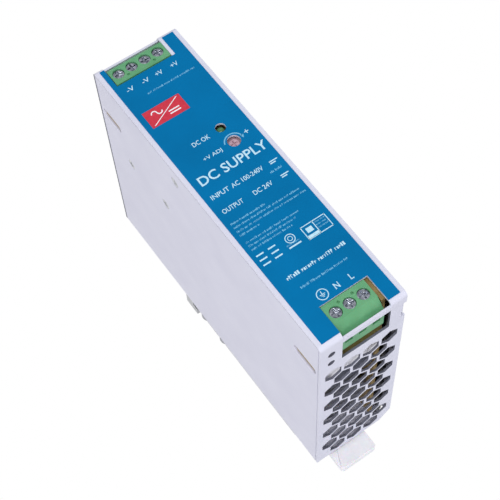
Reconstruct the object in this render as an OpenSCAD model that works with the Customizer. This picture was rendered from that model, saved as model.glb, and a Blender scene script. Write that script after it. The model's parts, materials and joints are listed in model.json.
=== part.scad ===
// DIN rail power supply, 32 mm wide, 75 W class.
// Mounted pose: +X right seen from the front, front faces -Y, +Z up.
// The origin is the middle of the rail seat, on the centre line of a 35 mm rail.

/* [Case] */
// Case height, bottom face to top face
case_h = 125.2; // [110:0.1:140]
// Case width along the rail
case_w = 32; // [32:0.5:50]
// Rail seat to the face of the front label
front_depth = 97; // [97:0.5:120]
// Sheet metal thickness
sheet = 0.8; // [0.8:0.1:1.2]
// Outside radius of the front bends
bend_r = 1.8; // [1.5:0.1:3]
// Thickness of the front label
label_t = 0.2; // [0.1:0.05:0.3]

/* [Vents] */
// Honeycomb hole, flat to flat
vent_af = 6.1; // [4:0.1:6.4]
// Hole spacing across the width
vent_dx = 7.2; // [7:0.1:8]
// Row spacing front to back
vent_dy = 5.85; // [5.8:0.05:6]
// Number of rows
vent_rows = 12; // [4:1:12]

/* [Terminals] */
// Spacing of the terminal poles
pole_pitch = 5.08; // [5:0.01:5.08]
// Poles on the input block
in_poles = 3; // [3:1:3]
// Poles on the output block
out_poles = 4; // [4:1:4]
// Radius of the clamp screw shank
clamp_r = 1.25; // [1.2:0.05:1.3]
// Running gap between shank and cage
clamp_gap = 0.05; // [0.03:0.01:0.09]

/* [Rail clip] */
// Width of the rail, edge to edge
rail_w = 35; // [35:1:35]
// Thickness of the clip base
base_t = 5; // [5:0.1:6]
// How far the hooks reach behind the seat
hook_t = 5; // [4:0.1:6]
// Width of the sliding latch
latch_w = 15; // [12:0.5:15]
// Travel of the latch
latch_travel = 4.5; // [3:0.1:5]

/* [Hidden] */
$fn = 40;
half_w = case_w / 2;
half_h = case_h / 2;
skin_y = -front_depth + label_t;
rear_y = -base_t;
in_h = half_h - sheet;
in_w = half_w - sheet;
lip_x = in_w - 0.1;
vent_r = vent_af / 2 / cos(30);
vent_y0 = -front_depth + 22.8;
// front windows: left, right, inner end
out_win = [-12.7, 8.9, half_h - 10];
in_win = [-7.8, 10, half_h - 11.8];
wire_y0 = skin_y + 4.2;
wire_y1 = skin_y + 14.9;
out_x = -1.7;
in_x = 0.45;
block_y = skin_y + 0.4;
block_d = 11.8;
out_v = half_h - 9.1;
in_v = half_h - 11.6;
face_h = 6.6;
slope_y = 3.8;
out_len = in_h - out_v - 0.5;
in_len = in_h - in_v - 0.2;
screw_v = 3.8;
stop_v = 1.7;
pcb_t = 1.6;
tboard_u = 17.5;
tboard_y = block_y + tboard_u;
board_x = 9;
board_y0 = -88;
board_y1 = -9;
board_h = 59;
led = [5.2, 19.1];
led_hole_r = 1.8;
trim = [5.8, 12.4];
trim_hole_r = 2.25;
cover_screw = [skin_y + 7.4, 14.8];
seam = 0.25;
sink_screws = [[skin_y + 35.2, 46.4], [skin_y + 32.7, 24.3]];
stud_y = [-78, -16];
stud_z = [-53, 53];
slot_z = [49.4, 60.6];
slot_r = 1.6;
slot_y = tboard_y + pcb_t / 2;
seat_z = rail_w / 2;
latch_x = -2.4;
latch_y0 = -3.5;
foot_z = -half_h - 6.8;
spring_z = [-43, -25];
clip_z = [-48, seat_z + 5];
clip_screws = [[-12.5, 10], [12.5, 10], [-12.5, -2], [12.5, -40]];

// ---- helpers ----
module box(x0, x1, y0, y1, z0, z1) {
  translate([x0, y0, z0]) cube([x1 - x0, y1 - y0, z1 - z0]);
}

module rod_x(x0, x1, y, z, r) {
  translate([x0, y, z]) rotate([0, 90, 0]) cylinder(h = x1 - x0, r = r);
}

module rod_y(x, y0, y1, z, r) {
  translate([x, y0, z]) rotate([-90, 0, 0]) cylinder(h = y1 - y0, r = r);
}

module rod_z(x, y, z0, z1, r) {
  translate([x, y, z0]) cylinder(h = z1 - z0, r = r);
}

// side outline of the folded sheet, both front corners rounded
module fold_outline(y0, y1, h, r) {
  translate([y0 + r, -h]) square([y1 - y0 - r, 2 * h]);
  translate([y0, r - h]) square([y1 - y0, 2 * (h - r)]);
  for (s = [-1, 1]) translate([y0 + r, s * (h - r)]) circle(r);
}

module vent_rows(z0, z1) {
  for (i = [0 : vent_rows - 1])
    for (k = i % 2 == 0 ? [-1.5, -0.5, 0.5, 1.5] : [-1, 0, 1])
      translate([k * vent_dx, vent_y0 + i * vent_dy, z0])
        rotate([0, 0, 30]) cylinder(h = z1 - z0, r = vent_r, $fn = 6);
}

module plain_screw(x0, x1, y, z, head_r, head_t, shank_r, side) {
  // side +1 puts the head at x1, -1 at x0
  hx0 = side > 0 ? x1 - head_t : x0;
  difference() {
    union() {
      rod_x(x0, x1, y, z, shank_r);
      rod_x(hx0, hx0 + head_t, y, z, head_r);
    }
    for (a = [0, 90])
      translate([side > 0 ? x1 : x0, y, z]) rotate([a, 0, 0])
        cube([head_t, head_r * 1.3, 0.5], center = true);
  }
}

// ---- case ----
module chassis() {
  color([0.84, 0.84, 0.88]) difference() {
    union() {
      rotate([90, 0, 90]) translate([0, 0, -half_w]) linear_extrude(case_w)
        difference() {
          fold_outline(skin_y, rear_y, half_h, bend_r);
          fold_outline(skin_y + sheet, rear_y + 1, in_h, bend_r - sheet);
        }
      // side lips that carry the covers
      for (s = [-1, 1])
        box(s > 0 ? lip_x - sheet : -lip_x, s > 0 ? lip_x : sheet - lip_x,
            skin_y + sheet - 0.1, skin_y + 11, -42, 42);
    }
    // terminal windows, open through the bends
    box(out_win[0], out_win[1], skin_y - 1, skin_y + bend_r, out_win[2], half_h + 1);
    box(in_win[0], in_win[1], skin_y - 1, skin_y + bend_r, -half_h - 1, -in_win[2]);
    // wire windows in the top and bottom faces
    box(out_win[0], out_win[1], wire_y0, wire_y1, in_h - 1, half_h + 1);
    box(in_win[0], in_win[1], wire_y0, wire_y1, -half_h - 1, 1 - in_h);
    for (y = [7.3, 13.2]) rod_z(-11.8, skin_y + y, -half_h - 1, 1 - in_h, 1.3);
    vent_rows(in_h - 1, half_h + 1);
    vent_rows(-half_h - 1, 1 - in_h);
    // lamp and trimmer holes
    rod_y(led[0], skin_y - 1, skin_y + 2, led[1], led_hole_r);
    rod_y(trim[0], skin_y - 1, skin_y + 2, trim[1], trim_hole_r);
    // edge notches and clipped rear corners on the right
    for (s = [-1, 1]) {
      box(half_w - 1.6, half_w + 1, skin_y + 5, skin_y + 13.5, s * half_h - 2, s * half_h + 2);
      translate([half_w, rear_y, s * half_h]) rotate([0, 0, 45])
        cube([6.4, 6.4, 6], center = true);
      rod_x(s > 0 ? 10 : -20, s > 0 ? 20 : -10, cover_screw[0], cover_screw[1], 1.3);
    }
  }
}

module cover_plate(s) {
  box(s > 0 ? in_w : -half_w, s > 0 ? half_w : -in_w,
      skin_y + sheet + seam, rear_y, seam - in_h, in_h - seam);
}

module left_cover() {
  color([0.85, 0.85, 0.89]) difference() {
    cover_plate(-1);
    // round-ended slots around the tabs of the terminal boards
    for (s = [-1, 1]) {
      box(-half_w - 1, -in_w + 1, slot_y - slot_r, slot_y + slot_r,
          s > 0 ? slot_z[0] + slot_r : slot_r - slot_z[1],
          s > 0 ? slot_z[1] - slot_r : -slot_z[0] - slot_r);
      for (z = slot_z + [slot_r, -slot_r]) rod_x(-half_w - 1, -in_w + 1, slot_y, s * z, slot_r);
    }
    rod_x(-half_w - 1, -in_w + 1, cover_screw[0], cover_screw[1], 1.3);
    rod_x(-half_w - 1, -half_w + 0.6, cover_screw[0], cover_screw[1], 2);
    for (p = sink_screws) {
      rod_x(-half_w - 1, -in_w + 1, p[0], p[1], 1.3);
      rod_x(-half_w - 1, -half_w + 0.6, p[0], p[1], 2);
    }
  }
}

module right_cover() {
  color([0.85, 0.85, 0.89]) difference() {
    cover_plate(1);
    rod_x(in_w - 1, half_w + 1, cover_screw[0], cover_screw[1], 1.3);
    rod_x(half_w - 0.6, half_w + 1, cover_screw[0], cover_screw[1], 2);
    for (y = stud_y, z = stud_z) {
      rod_x(in_w - 1, half_w + 1, y, z, 1.6);
      rod_x(half_w - 0.6, half_w + 1, y, z, 2.9);
    }
    // clipped rear corners
    for (s = [-1, 1]) translate([half_w, rear_y, s * in_h]) rotate([45, 0, 0])
      cube([6, 5, 5], center = true);
  }
}

module rear_panel() {
  color([0.8, 0.8, 0.84]) difference() {
    union() {
      box(-lip_x, lip_x, rear_y - sheet, rear_y, 0.1 - in_h, in_h - 0.1);
      for (s = [-1, 1])
        box(s > 0 ? lip_x - sheet : -lip_x, s > 0 ? lip_x : sheet - lip_x,
            rear_y - 7, rear_y, -50, 50);
    }
    for (p = clip_screws) rod_y(p[0], rear_y - 2, rear_y + 1, p[1], 1.6);
    // clipped corners on the right
    for (s = [-1, 1]) translate([half_w, rear_y, s * in_h]) rotate([0, 45, 0])
      cube([6, 6, 6], center = true);
  }
}

module front_label() {
  color([0.05, 0.42, 0.68]) difference() {
    box(1.6 - half_w, half_w - 1.6, skin_y - label_t, skin_y, 1.6 - half_h, half_h - 1.6);
    box(out_win[0], out_win[1] + 1.2, skin_y - 1, skin_y + 1, out_win[2], half_h);
    box(in_win[0], in_win[1], skin_y - 1, skin_y + 1, -half_h, -in_win[2]);
    rod_y(led[0], skin_y - 1, skin_y + 1, led[1], led_hole_r);
    rod_y(trim[0], skin_y - 1, skin_y + 1, trim[1], trim_hole_r);
  }
}

module insulation_sheet() {
  color([0.06, 0.06, 0.07]) difference() {
    union() {
      box(13.2, 13.5, board_y0 + 2, board_y1, -board_h - 1.5, board_h + 1.5);
      for (s = [-1, 1])
        box(10.9, 13.5, board_y0 + 2, board_y1,
            s > 0 ? board_h + 1.2 : -board_h - 1.5, s > 0 ? board_h + 1.5 : -board_h - 1.2);
    }
    for (y = stud_y, z = stud_z) rod_x(12, 15, y, z, 3.1);
  }
}

module cover_screws() {
  color([0.7, 0.7, 0.74]) {
    plain_screw(-half_w + 0.1, -11.5, cover_screw[0], cover_screw[1], 1.9, 0.5, 1.25, -1);
    plain_screw(11.5, half_w - 0.1, cover_screw[0], cover_screw[1], 1.9, 0.5, 1.25, 1);
  }
}

module heatsink_screws() {
  color([0.7, 0.7, 0.74]) for (p = sink_screws)
    plain_screw(-half_w + 0.1, -12.2, p[0], p[1], 1.9, 0.5, 1.25, -1);
}

// ---- rail clip ----
module din_bracket() {
  color([0.75, 0.76, 0.78]) difference() {
    union() {
      box(-15, 15, rear_y, 0, clip_z[0], clip_z[1]);
      // fixed hook over the top edge of the rail
      box(-15, 15, -0.1, hook_t, seat_z + 0.3, clip_z[1]);
      box(-15, 15, 1.4, hook_t, seat_z - 2.3, seat_z + 1);
    }
    // relief groove at the root of the fixed hook
    box(-16, 16, -0.3, 1.3, seat_z - 2.6, seat_z + 0.3);
    // channel for the latch, wide at the floor
    box(latch_x - latch_w / 2 - 1.6, latch_x + latch_w / 2 + 1.6, latch_y0 - 0.1, -1.9,
        clip_z[0] - 1, -8);
    box(latch_x - latch_w / 2 - 0.1, latch_x + latch_w / 2 + 0.1, -2, 1, clip_z[0] - 1, -8);
    for (p = clip_screws) {
      rod_y(p[0], rear_y - 1, 1, p[1], 1.6);
      translate([p[0], -1.9, p[1]]) rotate([-90, 0, 0]) cylinder(h = 2, r1 = 1.6, r2 = 3.6);
    }
  }
  // post that carries the foot of the spring
  color([0.75, 0.76, 0.78]) box(latch_x - 2.2, latch_x + 2.2, rear_y + 1, -0.8,
    spring_z[0] - 2, spring_z[0]);
}

module din_latch() {
  r = 1.2;
  color([0.93, 0.93, 0.94]) difference() {
    union() {
      // tongue with a rounded foot
      box(latch_x - latch_w / 2, latch_x + latch_w / 2, latch_y0, -0.2, foot_z + r, -12.6);
      box(latch_x - latch_w / 2 + r, latch_x + latch_w / 2 - r, latch_y0, -0.2, foot_z, -14);
      for (s = [-1, 1])
        rod_y(latch_x + s * (latch_w / 2 - r), latch_y0, -0.2, foot_z + r, r);
      // runners
      box(latch_x - latch_w / 2 - 1.5, latch_x + latch_w / 2 + 1.5, latch_y0, -2, -46.5, -14);
      // hook under the bottom edge of the rail
      box(latch_x - latch_w / 2, latch_x + latch_w / 2, -0.3, hook_t, -seat_z - 4.5, -seat_z - 0.3);
      rotate([90, 0, 90]) translate([0, 0, latch_x - latch_w / 2]) linear_extrude(latch_w)
        polygon([[1.4, -seat_z - 1], [1.4, -seat_z + 1.9], [2.4, -seat_z + 1.9],
          [hook_t, -seat_z - 0.6], [hook_t, -seat_z - 1]]);
    }
    // spring window, and a screwdriver recess in the back of the foot
    box(latch_x - 2.5, latch_x + 2.5, -6, 1, spring_z[0] - 2.3, spring_z[1]);
    box(latch_x - 3.5, latch_x + 3.5, -1.6, 1, foot_z + 2, foot_z + 4);
  }
}

module latch_spring() {
  turns = 7;
  color([0.72, 0.72, 0.75]) translate([latch_x, -2.1, spring_z[0]])
    linear_extrude(spring_z[1] - spring_z[0], twist = -360 * turns, slices = 12 * turns, $fn = 4)
      polygon([for (a = [-30, 30]) [1.3 * cos(a), 1.3 * sin(a)],
        for (a = [30, -30]) [0.85 * cos(a), 0.85 * sin(a)]]);
}

module bracket_screws() {
  color([0.7, 0.7, 0.74]) for (p = clip_screws) difference() {
    union() {
      rod_y(p[0], rear_y - 3, -0.4, p[1], 1.5);
      translate([p[0], -1.9, p[1]]) rotate([-90, 0, 0]) cylinder(h = 1.6, r1 = 1.5, r2 = 3.1);
    }
    for (a = [0, 90]) translate([p[0], -0.3, p[1]]) rotate([0, a, 0])
      cube([3.4, 1.6, 0.6], center = true);
  }
}

// ---- terminals, drawn with the front face at y = 0 and wires entering at +z ----
module at_output() {
  translate([out_x, block_y, out_v]) children();
}

module at_input() {
  translate([in_x, block_y, -in_v]) rotate([0, 180, 0]) children();
}

function pole_x(i, n) = (i - (n - 1) / 2) * pole_pitch;

module terminal_housing(n, len) {
  w = n * pole_pitch + 0.8;
  difference() {
    union() {
      rotate([90, 0, 90]) translate([0, 0, -w / 2]) linear_extrude(w)
        polygon([[0, 0], [0, face_h], [slope_y, len], [block_d, len], [block_d, 0]]);
      box(-w / 2, w / 2, 0.8, block_d, -stop_v, 0.1);
      box(-w / 2, w / 2, block_d - 0.1, tboard_u, -stop_v, 7);
    }
    for (i = [0 : n - 1]) translate([pole_x(i, n), 0, 0]) {
      rod_y(0, -1, 2.1, screw_v, 2.05);
      rod_y(0, 2, 2.7, screw_v, clamp_r + 0.15);
      box(-2.05, 2.05, 2.6, 9.2, screw_v - 2.6, screw_v + 2.6);
      box(-1.45, 1.45, 5.6, 8.2, screw_v + 2.5, len + 1);
      box(-1.3, 1.3, 4.9, 5.6, -1, screw_v - 2.5);
      box(-0.45, 0.45, 4.9, tboard_u + 1, -1, -0.1);
    }
    // probe dimples between the poles
    for (i = [0.5 : n > 3 ? 2 : 1 : n - 1]) rod_y(pole_x(i, n), -1, 0.6, 1.6, 0.5);
  }
}

module terminal_contacts(n) {
  color([0.8, 0.74, 0.55]) for (i = [0 : n - 1]) translate([pole_x(i, n), 0, 0]) {
    box(-1.2, 1.2, 5, 5.5, -0.9, screw_v + 2.5);
    box(-0.35, 0.35, 5, tboard_u + pcb_t + 1, -0.9, -0.2);
  }
}

module terminal_screw(i, n) {
  color([0.8, 0.8, 0.82]) translate([pole_x(i, n), 0, screw_v]) difference() {
    union() {
      rod_y(0, 0.6, 2, 0, 1.95);
      rod_y(0, 1.9, 4.8, 0, clamp_r);
    }
    for (a = [0, 90]) rotate([0, a, 0]) box(-1.5, 1.5, 0, 1.4, -0.32, 0.32);
  }
}

module terminal_cage(i, n) {
  color([0.82, 0.82, 0.84]) translate([pole_x(i, n), 0, screw_v]) difference() {
    box(-1.95, 1.95, 4.1, 8.9, -2.3, 2.3);
    box(-1.45, 1.45, 4.8, 8.3, -3, 3);
    rod_y(0, 4, 4.9, 0, clamp_r + clamp_gap);
  }
}

module input_terminal_housing() {
  color([0.35, 0.65, 0.45]) at_input() terminal_housing(in_poles, in_len);
}

module output_terminal_housing() {
  color([0.35, 0.65, 0.45]) at_output() terminal_housing(out_poles, out_len);
}

module input_contacts() {
  at_input() terminal_contacts(in_poles);
}

module output_contacts() {
  at_output() terminal_contacts(out_poles);
}

// poles are numbered from the left, so the turned input block counts down
module input_screw(k) {
  at_input() terminal_screw(in_poles - k, in_poles);
}

module output_screw(k) {
  at_output() terminal_screw(k - 1, out_poles);
}

module input_cage(k) {
  at_input() terminal_cage(in_poles - k, in_poles);
}

module output_cage(k) {
  at_output() terminal_cage(k - 1, out_poles);
}

module terminal_board(n, x_mid, v0, s) {
  // s +1 for the top board, -1 for the bottom one
  lo = 46;
  hi = in_h - 0.8;
  color([0.72, 0.6, 0.36]) difference() {
    union() {
      box(-lip_x, board_x, tboard_y, tboard_y + pcb_t, s > 0 ? lo : -hi, s > 0 ? hi : -lo);
      box(0.4 - half_w, 0.2 - lip_x, tboard_y, tboard_y + pcb_t,
          s > 0 ? slot_z[0] + 1.2 : 1.2 - slot_z[1], s > 0 ? slot_z[1] - 1.2 : -slot_z[0] - 1.2);
    }
    for (i = [0 : n - 1]) translate([x_mid + pole_x(i, n), 0, s * (v0 - 0.55)])
      box(-0.45, 0.45, tboard_y - 1, tboard_y + pcb_t + 1, -0.45, 0.45);
  }
}

module input_terminal_board() {
  terminal_board(in_poles, in_x, in_v, -1);
}

module output_terminal_board() {
  terminal_board(out_poles, out_x, out_v, 1);
}

// ---- front controls ----
module trimmer_body() {
  color([0.75, 0.62, 0.66]) difference() {
    union() {
      box(trim[0] - 3.2, trim[0] + 3.2, -94.3, -90.3, trim[1] - 3.2, trim[1] + 3.2);
      for (k = [-1, 0, 1])
        box(board_x - 0.5, board_x, -90.4, -85, trim[1] + k * 2.5 - 0.3, trim[1] + k * 2.5 + 0.3);
    }
    rod_y(trim[0], -95, -92.6, trim[1], 1.75);
  }
}

module trimmer_rotor() {
  color([0.86, 0.66, 0.68]) difference() {
    rod_y(trim[0], -95.3, -92.7, trim[1], 1.7);
    translate([trim[0], 0, trim[1]]) {
      box(-1.2, 1.2, -96, -94.6, -0.25, 0.25);
      box(-0.25, 0.25, -96, -94.6, -1.2, 1.2);
      rod_y(0, -96, -95, 1.35, 0.2);
    }
  }
}

module status_led() {
  color([0.55, 0.85, 0.55]) {
    rod_y(led[0], -94.6, -92, led[1], 1.5);
    translate([led[0], -94.6, led[1]]) sphere(1.5);
    rod_y(led[0], -92, -91, led[1], 1.9);
  }
}

module led_holder() {
  color([0.1, 0.1, 0.11])
    box(led[0] - 2, board_x, -91, -84, led[1] - 2, led[1] + 2);
}

// ---- main board and its parts, components stand toward -X ----
module main_board() {
  color([0.72, 0.6, 0.36]) difference() {
    union() {
      box(board_x, board_x + pcb_t, board_y0, board_y1, -board_h, board_h);
      box(board_x, board_x + pcb_t, -94.8, board_y0 + 0.1, -board_h, -46);
    }
    for (y = stud_y, z = stud_z) rod_x(board_x - 1, board_x + 3, y, z, 1.7);
  }
}

module board_standoffs() {
  color([0.78, 0.7, 0.45]) for (y = stud_y, z = stud_z) difference() {
    rod_x(board_x + pcb_t, in_w, y, z, 2.8);
    rod_x(board_x, half_w, y, z, 1.6);
  }
}

module board_screws() {
  color([0.7, 0.7, 0.74]) for (y = stud_y, z = stud_z)
    plain_screw(board_x + 0.1, half_w - 0.1, y, z, 2.7, 0.5, 1.5, 1);
}

module fuse() {
  color([0.85, 0.84, 0.8]) {
    rod_z(5.2, -82, -38, -20, 2.6);
    for (z = [-38.5, -24]) rod_z(5.2, -82, z, z + 4.5, 2.9);
    for (z = [-37, -23]) box(5, board_x, -82.4, -81.6, z, z + 1.6);
  }
}

module choke_core() {
  color([0.25, 0.26, 0.28]) translate([-3.6, -67.5, -47.6]) rotate([90, 0, 0])
    rotate_extrude($fn = 48) translate([6.9, 0]) circle(2.8);
}

module choke_winding() {
  color([0.72, 0.4, 0.2]) translate([-3.6, -67.5, -47.6]) rotate([90, 0, 0])
    for (a = [25, 205]) rotate([0, 0, a]) rotate_extrude(angle = 130, $fn = 48)
      translate([6.9, 0]) difference() {
        circle(3.6);
        circle(2.8);
      }
}

module choke_base() {
  color([0.92, 0.92, 0.93]) difference() {
    union() {
      box(4.5, board_x, -74, -61, -58.5, -36.5);
      // shelf under the ring
      box(-13, 3.5, -74.2, -68, -60.8, -59.6);
      box(3, board_x, -70, -68, -60.8, -58.4);
    }
    translate([-3.6, -67.5, -47.6]) rotate([90, 0, 0]) cylinder(h = 7.4, r = 10.6, center = true);
  }
}

module x_capacitor() {
  color([0.3, 0.33, 0.4])
    box(-8.5, board_x, -59.5, -50.5, -58.5, -33);
}

module y_capacitors() {
  color([0.15, 0.35, 0.7]) for (z = [-29, -21]) {
    rod_z(4.8, -60, z, z + 3.2, 3.8);
    for (s = [-1, 1]) box(4, board_x, -60.3 + s * 2.4, -59.7 + s * 2.4, z + 1.3, z + 1.9);
  }
}

module varistor() {
  color([0.1, 0.25, 0.6]) {
    rod_z(2, -81, -16, -12, 5.5);
    for (s = [-1, 1]) box(1, board_x, -81.4 + s * 3, -80.6 + s * 3, -14.4, -13.6);
  }
}

module bridge_rectifier() {
  color([0.12, 0.12, 0.13]) {
    box(-10, 6, -46.5, -42.5, -56.5, -36);
    for (k = [0 : 3]) box(5.9, board_x, -45, -44, -55 + k * 5.6, -54 + k * 5.6);
  }
}

module bulk_capacitor() {
  color([0.16, 0.17, 0.22]) {
    rod_z(-2, -31, -56, -22, 11);
    rod_z(-2, -31, -57, -22.6, 10.2);
  }
}

module primary_heatsink() {
  color([0.78, 0.79, 0.8]) {
    box(-13.6, board_x, -11.5, -9.9, -50, 10);
    box(-13.6, -12, -20, -9.9, -18, 10);
    for (z = [-17, -9, -1, 7]) box(-12.1, 2, -14.5, -11.4, z, z + 1.6);
  }
}

module switching_transistor() {
  color([0.1, 0.1, 0.11]) {
    box(-7, 6, -16.2, -11.5, -7, -1.5);
    for (k = [-1, 0, 1]) box(5.9, board_x, -14.5, -13.9, -4.6 + k * 1.8, -3.9 + k * 1.8);
  }
}

module transformer_core() {
  color([0.22, 0.22, 0.24]) difference() {
    box(-9.5, 6.5, -58, -28, -17, 13);
    for (s = [-1, 1])
      box(-12, 9, s > 0 ? -38 : -54, s > 0 ? -32 : -48, -12.5, 8.5);
  }
}

module transformer_winding() {
  color([0.9, 0.75, 0.2]) difference() {
    box(-14, board_x, -53.9, -32.1, -12.4, 8.4);
    box(-9.5, 6.5, -48, -38, -14, 10);
  }
}

module output_heatsink() {
  color([0.78, 0.79, 0.8]) {
    difference() {
      box(-14.5, -12, -72, -56, 17, 46);
      for (p = sink_screws) rod_x(-16, -11, p[0], p[1], 1.25);
    }
    box(-14.5, -12, -72, -56, 48, 52);
    box(-14.5, -12, -59, -56, 45, 49);
    box(-12.1, 8, -57.6, -56, 17, 52);
  }
}

module thermal_pad() {
  color([0.6, 0.6, 0.63]) difference() {
    box(-in_w, -14.5, -72, -56, 17, 46);
    for (p = sink_screws) rod_x(-16, -11, p[0], p[1], 1.25);
  }
}

module output_rectifier() {
  color([0.1, 0.1, 0.11]) {
    box(-9, 5, -62.1, -57.6, 27, 37.5);
    for (k = [-1, 0, 1]) box(4.9, board_x, -60.2, -59.5, 31.9 + k * 2.5, 32.6 + k * 2.5);
  }
}

module output_capacitors() {
  color([0.12, 0.14, 0.2]) for (p = [[-48, 20], [-48, 33], [-48, 46], [-35, 52]])
    rod_x(-11, board_x, p[0], p[1], 5);
}

module output_choke() {
  color([0.5, 0.33, 0.2]) {
    rod_x(-8, board_x, -30, 30, 9);
    rod_x(-9, -8, -30, 30, 7);
  }
}

module control_chips() {
  color([0.08, 0.08, 0.09]) {
    box(7.2, board_x, -75, -65, 2, 8);
    box(7.4, board_x, -74, -69, -10, -6);
    box(5.5, board_x, -24, -17.5, 42, 46.6);
    box(7.4, board_x, -25, -20, 50, 54);
  }
}

chassis();
left_cover();
right_cover();
rear_panel();
front_label();
insulation_sheet();
cover_screws();
heatsink_screws();
din_bracket();
din_latch();
latch_spring();
bracket_screws();
input_terminal_housing();
output_terminal_housing();
input_contacts();
output_contacts();
input_screw(1);  // input_screw_1
input_screw(2);  // input_screw_2
input_screw(3);  // input_screw_3
output_screw(1);  // output_screw_1
output_screw(2);  // output_screw_2
output_screw(3);  // output_screw_3
output_screw(4);  // output_screw_4
input_cage(1);  // input_cage_1
input_cage(2);  // input_cage_2
input_cage(3);  // input_cage_3
output_cage(1);  // output_cage_1
output_cage(2);  // output_cage_2
output_cage(3);  // output_cage_3
output_cage(4);  // output_cage_4
input_terminal_board();
output_terminal_board();
trimmer_body();
trimmer_rotor();
status_led();
led_holder();
main_board();
board_standoffs();
board_screws();
fuse();
choke_core();
choke_winding();
choke_base();
x_capacitor();
y_capacitors();
varistor();
bridge_rectifier();
bulk_capacitor();
primary_heatsink();
switching_transistor();
transformer_core();
transformer_winding();
output_heatsink();
thermal_pad();
output_rectifier();
output_capacitors();
output_choke();
control_chips();
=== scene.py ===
import json
import math
import random
import bpy
import bmesh
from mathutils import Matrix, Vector


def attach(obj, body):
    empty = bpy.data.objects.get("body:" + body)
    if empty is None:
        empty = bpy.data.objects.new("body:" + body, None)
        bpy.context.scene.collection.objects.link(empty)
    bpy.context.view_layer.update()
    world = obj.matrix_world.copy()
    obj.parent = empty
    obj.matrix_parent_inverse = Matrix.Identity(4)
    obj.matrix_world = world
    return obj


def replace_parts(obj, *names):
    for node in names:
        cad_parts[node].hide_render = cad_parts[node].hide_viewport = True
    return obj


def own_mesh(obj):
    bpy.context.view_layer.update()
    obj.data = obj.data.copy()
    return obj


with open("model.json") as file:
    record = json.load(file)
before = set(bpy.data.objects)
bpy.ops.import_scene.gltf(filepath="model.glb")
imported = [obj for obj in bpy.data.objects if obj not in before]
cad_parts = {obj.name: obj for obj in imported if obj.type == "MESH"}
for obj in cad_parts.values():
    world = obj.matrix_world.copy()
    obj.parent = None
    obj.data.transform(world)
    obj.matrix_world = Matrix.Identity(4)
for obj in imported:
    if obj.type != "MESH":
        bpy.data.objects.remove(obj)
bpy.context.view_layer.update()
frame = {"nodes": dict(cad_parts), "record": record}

scene = bpy.context.scene
ROOT = "case"

# Places that several pieces share, in millimetres in the frame's own axes.
MM = 0.001
FRONT = -97.0
FLANGE_IN = 61.78
BOARD_X = 9
BOARD_BACK_X = 10.6
STANDOFF_Y = (-78, -16)
STANDOFF_Z = (-53, 53)
NODES = frame["nodes"]
BODY = {n: b for b, ns in frame["record"]["behaviour"]["bodies"].items() for n in ns}


# ---------- camera ----------
cam_data = bpy.data.cameras.new("camera")
cam_data.sensor_width = 36
cam_data.lens = 90.5
cam_data.clip_start = 0.01
cam_data.clip_end = 20
cam = bpy.data.objects.new("camera", cam_data)
cam.location = (-0.11106, -0.42521, -0.18286)
cam.rotation_euler = [math.radians(a) for a in (121.09, 35.108, 2.4998)]
scene.collection.objects.link(cam)
scene.camera = cam


# ---------- materials ----------
# How deep the fine bump is, in metres, and the smoothest that any surface gets.
BUMP_DEPTH = 0.00004
ROUGH_MIN = 0.03


class Surface:
    """Builds one procedural material: two tones mixed by noise, uneven roughness and a fine bump."""

    def __init__(self, name, dark, light, rough=0.5, metal=0.0, grain=350, spread=0.08,
                 bump=0.15, bump_grain=2500, stretch=(1, 1, 1), **sockets):
        self.mat = bpy.data.materials.new(name)
        self.mat.use_nodes = True
        self.nt = self.mat.node_tree
        self.shader = self.nt.nodes["Principled BSDF"]
        self.shader.inputs["Metallic"].default_value = metal
        for key, value in sockets.items():
            self.shader.inputs[key.replace("_", " ")].default_value = value
        coord = self.nt.nodes.new("ShaderNodeTexCoord")
        place = self.nt.nodes.new("ShaderNodeMapping")
        place.inputs["Scale"].default_value = stretch
        self.link(coord.outputs["Object"], place.inputs["Vector"])
        self.vector = place.outputs["Vector"]
        tone = self.noise(grain, 4)
        self.colour = self.ramp(tone, (0.3, dark), (0.7, light))
        self.link(self.colour, self.shader.inputs["Base Color"])
        span = self.nt.nodes.new("ShaderNodeMapRange")
        span.inputs["To Min"].default_value = max(rough - spread, ROUGH_MIN)
        span.inputs["To Max"].default_value = min(rough + spread, 1)
        self.link(self.noise(grain * 2.7, 3), span.inputs["Value"])
        self.link(span.outputs["Result"], self.shader.inputs["Roughness"])
        self.bump = self.nt.nodes.new("ShaderNodeBump")
        self.bump.inputs["Strength"].default_value = bump
        self.bump.inputs["Distance"].default_value = BUMP_DEPTH
        self.link(self.noise(bump_grain, 2), self.bump.inputs["Height"])
        self.link(self.bump.outputs["Normal"], self.shader.inputs["Normal"])

    def link(self, a, b):
        self.nt.links.new(a, b)

    def noise(self, scale, detail):
        n = self.nt.nodes.new("ShaderNodeTexNoise")
        n.inputs["Scale"].default_value = scale
        n.inputs["Detail"].default_value = detail
        self.link(self.vector, n.inputs["Vector"])
        return n.outputs["Fac"]

    def ramp(self, value, low, high):
        r = self.nt.nodes.new("ShaderNodeValToRGB")
        for element, (at, colour) in zip(r.color_ramp.elements, (low, high)):
            element.position = at
            element.color = (*colour, 1)
        self.link(value, r.inputs["Fac"])
        return r.outputs["Color"]

    def bands(self, axis, scale, low, high, sharp=0.5):
        """Replaces the colour with stripes along one axis, for tape and wire layers."""
        w = self.nt.nodes.new("ShaderNodeTexWave")
        w.bands_direction = axis
        w.inputs["Scale"].default_value = scale
        w.inputs["Distortion"].default_value = 0.4
        self.link(self.vector, w.inputs["Vector"])
        self.link(self.ramp(w.outputs["Fac"], (sharp - 0.25, low), (sharp + 0.25, high)),
                  self.shader.inputs["Base Color"])
        self.link(w.outputs["Fac"], self.bump.inputs["Height"])
        return self


def lin(r, g, b):
    """An 8-bit display colour as linear light."""
    return tuple((c / 255 / 12.92) if c <= 10 else ((c / 255 + 0.055) / 1.055) ** 2.4
                 for c in (r, g, b))


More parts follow.
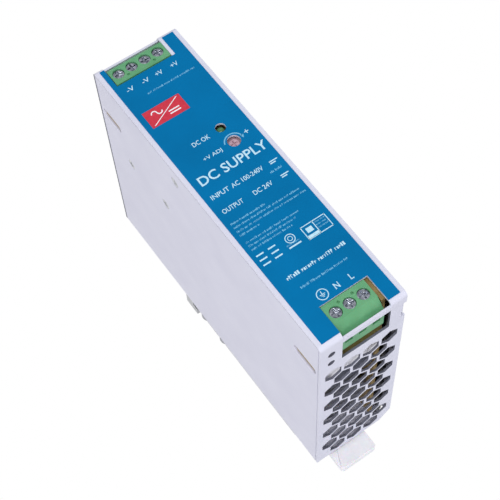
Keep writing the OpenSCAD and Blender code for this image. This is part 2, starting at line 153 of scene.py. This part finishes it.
def mat(*args, **kw):
    """The finished material of a Surface, where nothing more is done to it."""
    return Surface(*args, **kw).mat


PAINT = mat("case_paint", lin(213, 214, 230), lin(219, 220, 235), 0.42, grain=60, bump=0.1,
            bump_grain=1800, Coat_Weight=0.05, Coat_Roughness=0.3)
COVER = mat("cover_paint", lin(214, 214, 231), lin(220, 220, 236), 0.42, grain=60, bump=0.1,
            bump_grain=1700, Coat_Weight=0.05, Coat_Roughness=0.3)
# painted shade: a dark tone for the walls of the vent holes, standing in for the shade inside them
HOLE_SHADE = mat("cut_wall", lin(96, 98, 112), lin(118, 120, 134), 0.5, grain=500, bump=0.2)
# painted shade: a dark tone for the top flange's ends and the seam strips, standing in for the shade
# along the top edges and in the seams
EDGE_SHADE = mat("cut_edge", lin(52, 55, 72), lin(74, 77, 94), 0.45, grain=500, bump=0.2)
BLUE = mat("label_film", lin(0, 108, 162), lin(0, 115, 172), 0.55, grain=60, bump=0.05,
           bump_grain=3500, spread=0.04, Specular_IOR_Level=0.05)
INK = mat("label_ink_pale", lin(176, 222, 242), lin(205, 236, 248), 0.45, grain=900, bump=0.05)
INK_SOFT = mat("label_ink_soft", lin(96, 176, 216), lin(124, 192, 226), 0.45, grain=900, bump=0.05)
WHITE = mat("label_ink_white", lin(238, 240, 244), lin(248, 249, 251), 0.45, grain=900, bump=0.05)
RED = mat("label_ink_red", lin(196, 34, 56), lin(212, 46, 68), 0.42, grain=700, bump=0.05)
GREEN = mat("terminal_plastic", lin(88, 156, 108), lin(105, 170, 122), 0.38, grain=160, bump=0.2,
            bump_grain=2200, Subsurface_Weight=0.06, Subsurface_Scale=0.001)
# nickel plate with painted shade: the near-black tone stands in for the shade in the screw wells, mixed
# by noise with the metal's own light tone
NICKEL_PAINTED_SHADE = mat("plated_steel", (0.04, 0.05, 0.09), (0.7, 0.74, 0.82), 0.2, 1.0, grain=900, bump=0.35,
             bump_grain=1600, stretch=(1, 4, 1))
ZINC = mat("zinc_plate", (0.5, 0.51, 0.54), (0.68, 0.69, 0.72), 0.34, 1.0, grain=500, bump=0.3)
TIN = mat("tinned_brass", (0.62, 0.56, 0.42), (0.75, 0.69, 0.54), 0.3, 1.0, grain=600, bump=0.2)
ALU = mat("bare_aluminium", (0.56, 0.57, 0.59), (0.72, 0.73, 0.75), 0.36, 1.0, grain=260, bump=0.4,
          stretch=(1, 1, 12), bump_grain=900)
CLIP = mat("clip_casting", (0.46, 0.47, 0.49), (0.6, 0.61, 0.63), 0.42, 0.9, grain=420, bump=0.5,
           bump_grain=1500)
LATCH = mat("latch_plastic", lin(238, 238, 243), lin(246, 246, 249), 0.34, grain=200, bump=0.12,
            Subsurface_Weight=0.12, Subsurface_Scale=0.002)
BOARD = mat("board_laminate", lin(142, 118, 70), lin(172, 148, 96), 0.5, grain=260, bump=0.3,
            stretch=(1, 3, 1))
FILM = mat("black_film", lin(10, 10, 12), lin(20, 20, 24), 0.4, grain=300, bump=0.15)
BLACK = mat("moulded_black", lin(20, 20, 22), lin(34, 34, 38), 0.5, grain=600, bump=0.4)
WHITE_PL = mat("moulded_white", lin(228, 228, 234), lin(242, 242, 246), 0.4, grain=250, bump=0.15)
FERRITE = mat("ferrite", lin(42, 43, 47), lin(66, 67, 72), 0.55, grain=1500, bump=0.6)
COPPER = mat("enamelled_wire", (0.42, 0.13, 0.04), (0.62, 0.24, 0.09), 0.24, 0.85, grain=500,
             Coat_Weight=0.5)
RESIN = mat("cast_resin", lin(44, 48, 66), lin(58, 63, 84), 0.34, grain=240, bump=0.12)
DISC = mat("dipped_epoxy", lin(24, 72, 150), lin(44, 98, 178), 0.25, grain=500, bump=0.35,
           bump_grain=700, Coat_Weight=0.3)
SLEEVE = mat("shrink_sleeve", lin(36, 38, 52), lin(50, 53, 70), 0.22, grain=90, bump=0.05,
             Coat_Weight=0.3)
CAN = mat("can_top", (0.62, 0.63, 0.65), (0.78, 0.79, 0.8), 0.3, 1.0, grain=500)
CERAMIC = mat("ceramic", lin(222, 219, 208), lin(236, 234, 226), 0.3, grain=300, bump=0.1)
PAD = mat("silicone_pad", lin(138, 140, 148), lin(156, 158, 166), 0.75, grain=800, bump=0.5)
TAPE = Surface("polyester_tape", lin(222, 180, 40), lin(240, 204, 74), 0.25, Coat_Weight=0.3).bands(
    "Z", 180, lin(206, 164, 30), lin(240, 204, 74)).mat
ROSE = mat("trimmer_plastic", lin(196, 160, 172), lin(216, 182, 192), 0.4, grain=700, bump=0.2)
LENS = mat("lamp_lens", lin(90, 150, 96), lin(126, 186, 128), 0.15, grain=500, bump=0.02,
           Transmission_Weight=0.45, IOR=1.5)
SOLDER = mat("solder", (0.6, 0.6, 0.63), (0.78, 0.78, 0.8), 0.28, 1.0, grain=900, bump=0.4)
SPRING = mat("spring_wire", (0.5, 0.5, 0.54), (0.68, 0.68, 0.72), 0.2, 1.0, grain=900, bump=0.1)
BEIGE = mat("resistor_coat", lin(196, 172, 130), lin(214, 192, 152), 0.4, grain=700, bump=0.1)


# ---------- making pieces ----------
def add(name, bm, material, body=ROOT, smooth=35):
    """Turns a bmesh into a piece that rides with a body, and frees the bmesh."""
    mesh = bpy.data.meshes.new(name)
    bm.to_mesh(mesh)
    bm.free()
    mesh.shade_smooth()
    mesh.set_sharp_from_angle(angle=math.radians(smooth))
    mesh.materials.append(material)
    obj = bpy.data.objects.new(name, mesh)
    scene.collection.objects.link(obj)
    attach(obj, body)
    return obj


def dress(node, material, bevel=0.12, segments=2, edit=None, smooth=30):
    """A finished copy of a CAD node: merged flat faces, softened edges and its own material."""
    bm = bmesh.new()
    bm.from_mesh(NODES[node].data)
    bmesh.ops.remove_doubles(bm, verts=bm.verts, dist=1e-7)
    bmesh.ops.dissolve_limit(bm, angle_limit=math.radians(0.6), verts=bm.verts, edges=bm.edges)
    if edit:
        edit(bm)
    obj = add(node + "_skin", bm, material, BODY[node], smooth)
    if bevel:
        soft = obj.modifiers.new("edges", "BEVEL")
        soft.width = bevel * MM
        soft.segments = segments
        soft.limit_method = "ANGLE"
        soft.angle_limit = math.radians(smooth)
        even = obj.modifiers.new("even_normals", "WEIGHTED_NORMAL")
        even.mode = "FACE_AREA"
        even.weight = 100
        even.keep_sharp = True
    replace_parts(obj, node)
    return obj


def box(bm, x0, x1, y0, y1, z0, z1, soft=0.0):
    """Adds a box in millimetres, with its edges softened if asked."""
    made = bmesh.ops.create_cube(bm, size=1)["verts"]
    size = Vector((x1 - x0, y1 - y0, z1 - z0)) * MM
    mid = Vector((x0 + x1, y0 + y1, z0 + z1)) * MM / 2
    for v in made:
        v.co = Vector(a * b for a, b in zip(v.co, size)) + mid
    if soft:
        edges = {e for v in made for e in v.link_edges}
        bmesh.ops.bevel(bm, geom=list(edges), offset=soft * MM, segments=2, affect="EDGES", profile=0.6)


def tube(bm, path, radius, sides=8, closed=False):
    """Sweeps a round section along points in millimetres."""
    pts = [Vector(p) * MM for p in path]
    rings = []
    side = None
    for i, p in enumerate(pts):
        a = pts[i - 1] if i else (pts[-1] if closed else p)
        b = pts[(i + 1) % len(pts)] if closed or i < len(pts) - 1 else p
        along = (b - a).normalized()
        if side is None:
            side = along.orthogonal().normalized()
        side = (side - along * side.dot(along)).normalized()
        up = along.cross(side)
        rings.append([bm.verts.new(p + radius * MM * (side * math.cos(t) + up * math.sin(t)))
                      for t in (math.tau * k / sides for k in range(sides))])
    for i in range(len(rings) if closed else len(rings) - 1):
        r, s = rings[i], rings[(i + 1) % len(rings)]
        for k in range(sides):
            bm.faces.new((r[k], r[(k + 1) % sides], s[(k + 1) % sides], s[k]))
    if not closed:
        bm.faces.new(rings[0][::-1])
        bm.faces.new(rings[-1])


def lathe(bm, profile, at, axis, sides=32):
    """Turns a profile of (distance along axis, radius) in millimetres about an axis through at."""
    turn = Vector((0, 0, 1)).rotation_difference(Vector(axis)).to_matrix()
    rings = []
    for h, r in profile:
        rings.append([
            bm.verts.new((turn @ Vector((r * math.cos(t), r * math.sin(t), h)) + Vector(at)) * MM)
            for t in (math.tau * k / sides for k in range(sides))])
    for r, s in zip(rings, rings[1:]):
        for k in range(sides):
            bm.faces.new((r[k], r[(k + 1) % sides], s[(k + 1) % sides], s[k]))
    bm.faces.new(rings[0][::-1])
    bm.faces.new(rings[-1])


def can(r, length, lip=0.5):
    """The side profile of a capacitor can with rolled ends and a groove near its base."""
    return [(0, r - 1.2), (0, r - lip), (lip * 0.5, r), (1.6, r), (2.1, r - 0.35), (2.6, r),
            (length - lip, r), (length, r - lip), (length, r - 1.6)]


# ---------- case ----------
def split_flanges(bm):
    """Splits the faces just inside the top and bottom flanges, so that cut edges are faces that take
    the painted shade.
    """
    for side in (-1, 1):
        bmesh.ops.bisect_plane(bm, geom=bm.verts[:] + bm.edges[:] + bm.faces[:],
                               plane_co=(0, 0, side * FLANGE_IN * MM), plane_no=(0, 0, 1))


def paint_shade_on_cuts(shell):
    """Paints shade on the top flange's ends and on the walls of holes in both flanges: darker materials
    that stand in for the shade there.
    """
    shell.data.materials.append(EDGE_SHADE)
    shell.data.materials.append(HOLE_SHADE)
    for face in shell.data.polygons:
        x, y, z = face.center / MM
        if z > FLANGE_IN and abs(face.normal.x) > 0.9 and abs(x) > 15.5 and y > -96:
            face.material_index = 1
        elif abs(z) > FLANGE_IN and abs(face.normal.z) < 0.1 and abs(x) < 14.5 and y > -93:
            face.material_index = 2


paint_shade_on_cuts(dress("chassis", PAINT, 0.14, edit=split_flanges))
# painted shade: dark strips in the seams between the front and the side covers, standing in for the
# shadow in the gaps
seams = bmesh.new()
for x0, x1 in ((-15.96, -15.3), (15.3, 15.96)):
    box(seams, x0, x1, -96.0, -95.76, -61.6, 61.6)
add("seam_shadow", seams, EDGE_SHADE)
dress("left_cover", COVER)
dress("right_cover", COVER)
dress("rear_panel", PAINT)
dress("insulation_sheet", FILM, 0.05, 1)
for name in ("cover_screws", "heatsink_screws", "bracket_screws", "board_screws"):
    dress(name, ZINC, 0.08)


def sink_label(bm):
    """Lowers the label's face a little, which leaves room for the print in front of it."""
    for v in bm.verts:
        if v.co.y < (FRONT + 0.1) * MM:
            v.co.y = (FRONT + 0.04) * MM


dress("front_label", BLUE, 0, edit=sink_label)


# ---------- label print ----------
# DROP is added to every height in the print. The other three are how much letters are thickened.
DROP = -0.5
THIN, MEDIUM, HEAVY = 0.008, 0.01, 0.012


class Print:
    """Flat printed shapes on the label, in millimetres across (x) and up (z)."""

    def __init__(self, depth):
        self.bm = bmesh.new()
        self.y = FRONT + depth

    def face(self, pts):
        self.bm.faces.new([self.bm.verts.new((x * MM, self.y * MM, (z + DROP) * MM)) for x, z in pts])

    def bar(self, x0, x1, z0, z1):
        self.face([(x0, z0), (x1, z0), (x1, z1), (x0, z1)])

    def arc(self, x, z, r, width, a0=0, a1=360, steps=40):
        ring = []
        for k in range(steps + 1):
            t = math.radians(a0 + (a1 - a0) * k / steps)
            ring.append([(x + q * math.cos(t), z + q * math.sin(t))
                         for q in (r - width / 2, r + width / 2)])
        for (a, b), (c, d) in zip(ring, ring[1:]):
            self.face([a, b, d, c])

    def text(self, words, x, z, height, width, weight, centre=False):
        """Words stretched to a height and a width, from their left end or about their middle."""
        curve = bpy.data.curves.new("words", "FONT")
        curve.body = words
        curve.size = 1
        curve.resolution_u = 3
        curve.offset = weight
        obj = bpy.data.objects.new("words", curve)
        scene.collection.objects.link(obj)
        bpy.context.view_layer.update()
        solved = obj.evaluated_get(bpy.context.evaluated_depsgraph_get())
        mesh = bpy.data.meshes.new_from_object(solved)
        bpy.data.objects.remove(obj)
        xs = [v.co.x for v in mesh.vertices]
        ys = [v.co.y for v in mesh.vertices]
        kz = height / (max(ys) - min(ys))
        kx = width / (max(xs) - min(xs))
        left = x - (max(xs) - min(xs)) * kx / 2 if centre else x
        low_x, low_y = min(xs), min(ys)
        for v in mesh.vertices:
            across = left + (v.co.x - low_x) * kx
            up = z + DROP + (v.co.y - low_y) * kz
            v.co = Vector((across * MM, self.y * MM, up * MM))
        self.bm.from_mesh(mesh)

    def fine_print(self, x0, x1, z, height, seed):
        """A line too small to read: letter-sized strokes with word gaps."""
        pick = random.Random(seed)
        stem, letter, step, gap = height * 0.16, height * 0.42, height * 0.58, height * 0.5
        x = x0
        while x < x1:
            for _ in range(pick.randint(3, 9)):
                if x + height * 0.45 > x1:
                    return
                tall = height * (1 if pick.random() < 0.35 else 0.7)
                self.bar(x, x + stem, z, z + tall)
                low = z + tall * pick.choice((0, 0.45, 0.8))
                high = z + tall * (pick.choice((0.9, 1.0)) if pick.random() < 0.2 else 0.95)
                self.bar(x + stem, x + letter, low, high)
                x += step
            x += gap

    def done(self, name, material):
        """Turns every face to the front and makes the piece."""
        self.bm.normal_update()
        for f in self.bm.faces:
            if f.normal.y > 0:
                f.normal_flip()
        return add(name, self.bm, material)


main = Print(0.012)
for x, words in ((-9.8, "-V"), (-3.9, "-V"), (1.3, "+V"), (7.3, "+V")):
    main.text(words, x, 48.8, 1.75, 2.7, MEDIUM, centre=True)
main.text("DC OK", -5.9, 18.2, 1.75, 6.4, MEDIUM)
main.text("+V ADJ", -6.1, 11.4, 1.8, 6.9, THIN)
main.text("DC SUPPLY", -12.0, 4.4, 3.6, 25.4, HEAVY)
main.text("INPUT", -12.2, -1.6, 1.7, 6.6, THIN)
main.text("AC 100-240V", -4.6, -1.6, 1.7, 11.8, THIN)
main.text("OUTPUT", -12.2, -7.8, 1.7, 7.6, THIN)
main.text("DC 24V", -0.6, -7.8, 1.7, 7.0, THIN)
main.text("N", 0.7, -48.7, 2.1, 1.7, HEAVY, centre=True)
main.text("L", 6.0, -48.7, 2.1, 1.2, HEAVY, centre=True)
# earth sign
main.arc(-4.5, -47.6, 1.8, 0.3)
main.bar(-4.62, -4.38, -47.5, -46.4)
for k, half in enumerate((0.95, 0.62, 0.3)):
    main.bar(-4.5 - half, -4.5 + half, -47.72 - k * 0.42, -47.5 - k * 0.42)
# plain signs in place of the marks: a ring over a bar, two stacks of bars and a framed block
main.arc(-1.0, -26.6, 1.55, 0.28)
main.arc(-1.0, -26.6, 0.75, 0.22)
main.bar(-3.2, 1.2, -29.6, -29.1)
for x0, x1 in ((-12.9, -10.2), (-8.6, -5.9)):
    for k in range(3):
        main.bar(x0, x1, -26.0 - k * 1.9, -25.5 - k * 1.9)
for z in (-25.7, -30.6):
    main.bar(3.4, 12.6, z, z + 0.3)
for x in (3.4, 12.3, 7.7):
    main.bar(x, x + 0.3, -30.5, -25.5)
main.bar(3.6, 7.8, -30.4, -29.2)
main.bar(4.6, 6.8, -28.4, -26.6)
main.text("+", 11.0, 12.8, 1.5, 1.5, MEDIUM, centre=True)
main.done("label_print", INK)

soft = Print(0.016)
# arrow round the trimmer
soft.arc(5.8, 12.4, 3.3, 0.42, 12, 165)
soft.face([(8.5, 13.4), (9.7, 13.3), (9.0, 12.0)])
soft.fine_print(-6.2, 12.2, 44.4, 0.75, 3)
for k, (z, end) in enumerate(((-12.4, 0.2), (-14.0, 12.3), (-15.7, 13.6), (-17.3, -5.0),
                              (-20.4, 6.9), (-21.9, 5.2), (-23.4, 2.4))):
    soft.fine_print(-12.7, end, z, 0.72, 10 + k)
soft.fine_print(8.0, 12.9, -4.2, 0.8, 31)
soft.fine_print(-3.4, 1.4, -28.6, 0.5, 33)
soft.fine_print(-8.4, 9.6, -42.5, 0.8, 35)
for k in range(3):
    soft.fine_print(8.3, 12.0, -26.6 - k * 1.1, 0.5, 40 + k)
soft.done("label_fine_print", INK_SOFT)

bold = Print(0.013)
bold.fine_print(-10.0, 11.6, -38.0, 1.35, 50)
for z in (-1.4, -7.6):
    bold.bar(9.9, 12.9, z + 0.75, z + 1.15)
    bold.bar(9.9, 11.9, z, z + 0.4)
bold.done("label_bold_print", INK)

# red block with an AC/DC sign
block = Print(0.02)
block.bar(-12.3, 1.8, 31.9, 39.0)
block.done("label_block", RED)
sign = Print(0.01)
sign.face([(-11.5, 32.5), (-10.9, 32.5), (0.9, 38.4), (0.3, 38.4)])
sign.arc(-8.9, 36.7, 0.95, 0.42, 0, 180, 16)
sign.arc(-7.0, 36.7, 0.95, 0.42, 180, 360, 16)
sign.bar(-4.6, -0.6, 34.5, 34.95)
sign.bar(-4.6, -0.6, 33.4, 33.85)
sign.done("label_sign", WHITE)


# ---------- rail clip ----------
dress("din_bracket", CLIP, 0.25)
dress("din_latch", LATCH, 0.3, 3)
TURNS = 9
TURN_STEPS = 18
COIL_R = 1.05
COIL_LENGTH = 17.6
coil = bmesh.new()
tube(coil, [(-2.4 + COIL_R * math.cos(t), -2.1 + COIL_R * math.sin(t),
             -42.8 + COIL_LENGTH * t / (math.tau * TURNS))
            for t in (math.tau * k / TURN_STEPS for k in range(TURN_STEPS * TURNS + 1))], 0.2, 6)
spring = add("latch_coil", coil, SPRING)
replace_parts(spring, "latch_spring")
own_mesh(spring)


# ---------- terminals ----------
for side, count in (("input", 3), ("output", 4)):
    dress(f"{side}_terminal_housing", GREEN, 0.16)
    dress(f"{side}_contacts", TIN, 0.05, 1)
    dress(f"{side}_terminal_board", BOARD, 0.05, 1)
    for k in range(1, count + 1):
        dress(f"{side}_screw_{k}", NICKEL_PAINTED_SHADE)
        dress(f"{side}_cage_{k}", NICKEL_PAINTED_SHADE, 0.1)


# ---------- front controls ----------
dress("trimmer_body", ROSE, 0.15)
dress("trimmer_rotor", ROSE, 0.08)
dress("status_led", LENS, 0.05)
dress("led_holder", BLACK, 0.2)


# ---------- boards and parts ----------
dress("main_board", BOARD, 0.05, 1)
dress("board_standoffs", TIN, 0.15)
dress("choke_core", FERRITE, 0, 1)
dress("choke_base", WHITE_PL, 0.3, 3)
dress("x_capacitor", RESIN, 0.5, 3)
dress("y_capacitors", DISC, 0.9, 4)
dress("varistor", DISC, 1.1, 4)
dress("bridge_rectifier", BLACK, 0.35)
dress("primary_heatsink", ALU, 0.15)
dress("switching_transistor", BLACK, 0.2)
dress("transformer_core", FERRITE, 0.35)
dress("transformer_winding", TAPE, 0.9, 3)
dress("output_heatsink", ALU, 0.15)
dress("thermal_pad", PAD, 0.08, 1)
dress("output_rectifier", BLACK, 0.25)
dress("control_chips", BLACK, 0.15)
dress("fuse", CERAMIC, 0.25)

cell = bmesh.new()
lathe(cell, can(11, 35), (-2, -31, -57), (0, 0, 1), 48)
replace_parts(add("bulk_can", cell, SLEEVE), "bulk_capacitor")
OUT_CAN_LENGTH = 20
CAN_TOP_X = BOARD_X - OUT_CAN_LENGTH + 0.1
SCORE = 2.6
tops = bmesh.new()
cans = bmesh.new()
for y, z in ((-48, 20), (-48, 33), (-48, 46), (-35, 52)):
    lathe(cans, can(5, OUT_CAN_LENGTH, 0.4), (BOARD_X, y, z), (-1, 0, 0), 32)
    lathe(tops, [(0, 3.5), (0.1, 3.6), (0.3, 3.4)], (CAN_TOP_X, y, z), (-1, 0, 0), 32)
    for a in (0, 60, 120):
        c, s = math.cos(math.radians(a)) * SCORE, math.sin(math.radians(a)) * SCORE
        tube(tops, [(CAN_TOP_X - 0.28, y - c, z - s), (CAN_TOP_X - 0.28, y + c, z + s)], 0.12, 6)
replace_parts(add("output_cans", cans, SLEEVE), "output_capacitors")
add("can_tops", tops, CAN)


# The two directions that a ring lies in, and then its own axis.
RING_FACING_Y = ((1, 0, 0), (0, 0, 1), (0, 1, 0))
RING_FACING_X = ((0, 1, 0), (0, 0, 1), (1, 0, 0))


def wound_ring(bm, centre, ring, core, wire, turns, a0, a1, axes):
    """Wire wound round a ring core: a spiral about the ring's own circle."""
    u, v, w = (Vector(q) for q in axes)
    reach = core + wire
    steps = turns * 14
    path = []
    for k in range(steps + 1):
        big = math.radians(a0 + (a1 - a0) * k / steps)
        small = math.tau * turns * k / steps
        out = u * math.cos(big) + v * math.sin(big)
        across = out * (ring + reach * math.cos(small))
        path.append(Vector(centre) + across + w * reach * math.sin(small))
    tube(bm, path, wire, 6)


coils = bmesh.new()
for a in (22, 202):
    wound_ring(coils, (-3.6, -67.5, -47.6), 6.9, 2.85, 0.38, 17, a, a + 136, RING_FACING_Y)
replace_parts(add("choke_wire", coils, COPPER), "choke_winding")
DRUM_Y, DRUM_Z = -30, 30
DRUM_RING = 5.6
DRUM_X = (-0.4, 4.6)
drum = bmesh.new()
for x, start in zip(DRUM_X, (0, 10)):
    wound_ring(drum, (x, DRUM_Y, DRUM_Z), DRUM_RING, 2.6, 0.42, 24, start, start + 344, RING_FACING_X)
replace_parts(add("output_choke_wire", drum, COPPER), "output_choke")
drum_core = bmesh.new()
for x in DRUM_X:
    tube(drum_core, [(x, DRUM_Y + DRUM_RING * math.cos(t), DRUM_Z + DRUM_RING * math.sin(t))
                     for t in (math.tau * k / 40 for k in range(40))], 2.45, 16, closed=True)
box(drum_core, 7.2, BOARD_X, DRUM_Y - 8, DRUM_Y + 8, DRUM_Z - 8, DRUM_Z + 8, 0.4)
add("output_choke_core", drum_core, FERRITE)

# black film over the inside of the back and behind the two small holes
film = bmesh.new()
box(film, -13.2, 13.0, -7.3, -7.1, -50, 58)
box(film, -13.2, -9.6, -92, -82.5, -61.0, -60.8)
add("back_film", film, FILM)

# small parts between the large ones
RESISTOR = [(-2.6, 0.5), (-2.4, 0.85), (-1.6, 0.95), (-1.2, 0.75),
            (1.2, 0.75), (1.6, 0.95), (2.4, 0.85), (2.6, 0.5)]
PART_X = BOARD_X - 1.1
small = bmesh.new()
bands = bmesh.new()
leads = bmesh.new()
for y, z in ((-84, 30), (-84, 34), (-84, 38), (-80, 26), (-72, 14), (-68, 14), (-85, -4), (-85, 0),
             (-78, 20), (-62, 15.2), (-24, -55), (-13, 20), (-13, 24), (-13, 28), (-13, 40), (-76, 42)):
    lathe(small, RESISTOR, (PART_X, y, z), (0, 1, 0), 12)
    for k, band_r in ((-1.0, 0.79), (-0.3, 0.79), (0.4, 0.79), (1.9, 0.97)):
        lathe(bands, [(k, band_r), (k + 0.3, band_r)], (PART_X, y, z), (0, 1, 0), 12)
    tube(leads, [(BOARD_X, y - 4, z), (PART_X, y - 3.9, z), (PART_X, y - 2.5, z)], 0.22, 6)
    tube(leads, [(PART_X, y + 2.5, z), (PART_X, y + 3.9, z), (BOARD_X, y + 4, z)], 0.22, 6)
add("resistors", small, BEIGE)
add("resistor_bands", bands, RED)
add("resistor_leads", leads, SOLDER)

# solder joints scattered over the back of the board, clear of its four screws
CLEAR = 4.5
pick = random.Random(7)
joints = bmesh.new()
for _ in range(150):
    y, z = pick.uniform(-86, -11), pick.uniform(-57, 57)
    if all(math.hypot(y - a, z - b) > CLEAR for a in STANDOFF_Y for b in STANDOFF_Z):
        lathe(joints, [(0, 0.95), (0.25, 0.7), (0.6, 0.35), (1.0, 0.22)],
              (BOARD_BACK_X, y, z), (1, 0, 0), 8)
add("solder_joints", joints, SOLDER)

# four pins down each side of a chip
PINS = 4
PIN_TOP_X = BOARD_X - 0.8
pins = bmesh.new()
for y, out in ((-75, -1), (-65, 1)):
    for k in range(PINS):
        z = 2.9 + k * 4.2 / (PINS - 1)
        tube(pins, [(PIN_TOP_X, y, z), (PIN_TOP_X, y + out * 0.8, z), (BOARD_X, y + out, z)], 0.18, 6)
add("chip_pins", pins, SOLDER)


# ---------- surroundings ----------
AIM = (0, -0.045, 0)


def area(name, at, size, power, colour=(1, 1, 1)):
    """A square soft light that points at the middle of the object."""
    data = bpy.data.lights.new(name, "AREA")
    data.shape = "SQUARE"
    data.size = size
    data.energy = power
    data.color = colour
    obj = bpy.data.objects.new(name, data)
    obj.location = at
    obj.rotation_euler = (Vector(AIM) - Vector(at)).to_track_quat("-Z", "Y").to_euler()
    scene.collection.objects.link(obj)


area("key", (-0.35, -1.15, -0.3), 0.6, 5.6)
area("low_fill", (-0.45, -0.3, -0.95), 0.6, 3.6, (0.97, 0.97, 1))
area("rear_fill", (0.5, 1.0, 0.4), 0.8, 1.5)

PALE = mat("pale_sweep", (0.86, 0.86, 0.87), (0.89, 0.89, 0.9), 0.9, grain=3, bump=0.02)


def floor(height):
    """A plain pale sheet, level, at a height in metres."""
    bm = bmesh.new()
    bmesh.ops.create_grid(bm, x_segments=4, y_segments=4, size=4)
    mesh = bpy.data.meshes.new("floor")
    bm.to_mesh(mesh)
    bm.free()
    mesh.materials.append(PALE)
    obj = bpy.data.objects.new("floor", mesh)
    obj.location = (0, 0, height)
    scene.collection.objects.link(obj)


floor(-1.0)

# sky: pale grey, and white towards the upper rear
WHITEST = (0.23, 0.90, 0.37)
world = bpy.data.worlds.new("soft_light")
scene.world = world
world.use_nodes = True
sky = world.node_tree
place = sky.nodes.new("ShaderNodeTexCoord")
facing = sky.nodes.new("ShaderNodeVectorMath")
facing.operation = "DOT_PRODUCT"
facing.inputs[1].default_value = WHITEST
glow = sky.nodes.new("ShaderNodeValToRGB")
glow.color_ramp.interpolation = "EASE"
glow.color_ramp.elements[0].position = 0.35
glow.color_ramp.elements[0].color = (0.6, 0.6, 0.62, 1)
glow.color_ramp.elements[1].position = 0.92
glow.color_ramp.elements[1].color = (1, 1, 1, 1)
sky.links.new(place.outputs["Generated"], facing.inputs[0])
sky.links.new(facing.outputs["Value"], glow.inputs["Fac"])
sky.links.new(glow.outputs["Color"], sky.nodes["Background"].inputs["Color"])
scene.view_settings.view_transform = "Standard"
